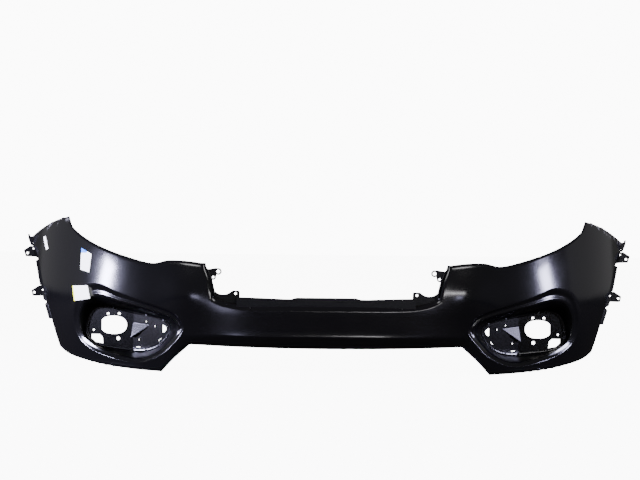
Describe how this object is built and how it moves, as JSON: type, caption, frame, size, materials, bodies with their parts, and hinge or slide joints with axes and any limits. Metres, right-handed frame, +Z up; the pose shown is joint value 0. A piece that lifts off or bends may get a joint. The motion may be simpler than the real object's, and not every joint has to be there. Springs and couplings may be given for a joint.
{
  "type": "front bumper cover",
  "caption": "Moulded front bumper cover with wide wings, a slim centre bar, recessed fog lamp pockets, arch tabs and grille brackets.",
  "frame": {"origin": "midway between the lower holes of the two grille brackets, on their front faces, on the car's centre plane", "axes": "+X across the car, +Y towards the rear of the car, +Z up; the show face looks along -Y"},
  "size_m": [1.728, 0.4803, 0.409],
  "materials": {
    "skin": "smooth moulded polypropylene blend, glossy black, unpainted",
    "insert": "satin black moulded plastic",
    "retainer": "dull dark grey moulded plastic",
    "bracket": "dull dark grey moulded plastic",
    "rail": "dull black moulded plastic",
    "edge_strip": "dull mid grey moulded plastic",
    "rivet": "moulded nylon push rivet",
    "label": "white self-adhesive paper, blank"
  },
  "bodies": {
    "root": {"cover_skin": "skin", "pocket_insert_left": "insert", "pocket_insert_right": "insert", "arch_retainer_left": "retainer", "arch_retainer_right": "retainer", "grille_bracket_left": "bracket", "grille_bracket_right": "bracket", "grille_rail": "rail", "wing_edge_strip_left": "edge_strip", "wing_edge_strip_right": "edge_strip", "insert_rivets_left": "rivet", "insert_rivets_right": "rivet", "bracket_rivets_left": "rivet", "bracket_rivets_right": "rivet", "rail_rivets": "rivet", "retainer_rivets_left": "rivet", "retainer_rivets_right": "rivet", "strip_label": "label", "part_label": "label", "batch_label": "label"}
  },
  "joints": []
}
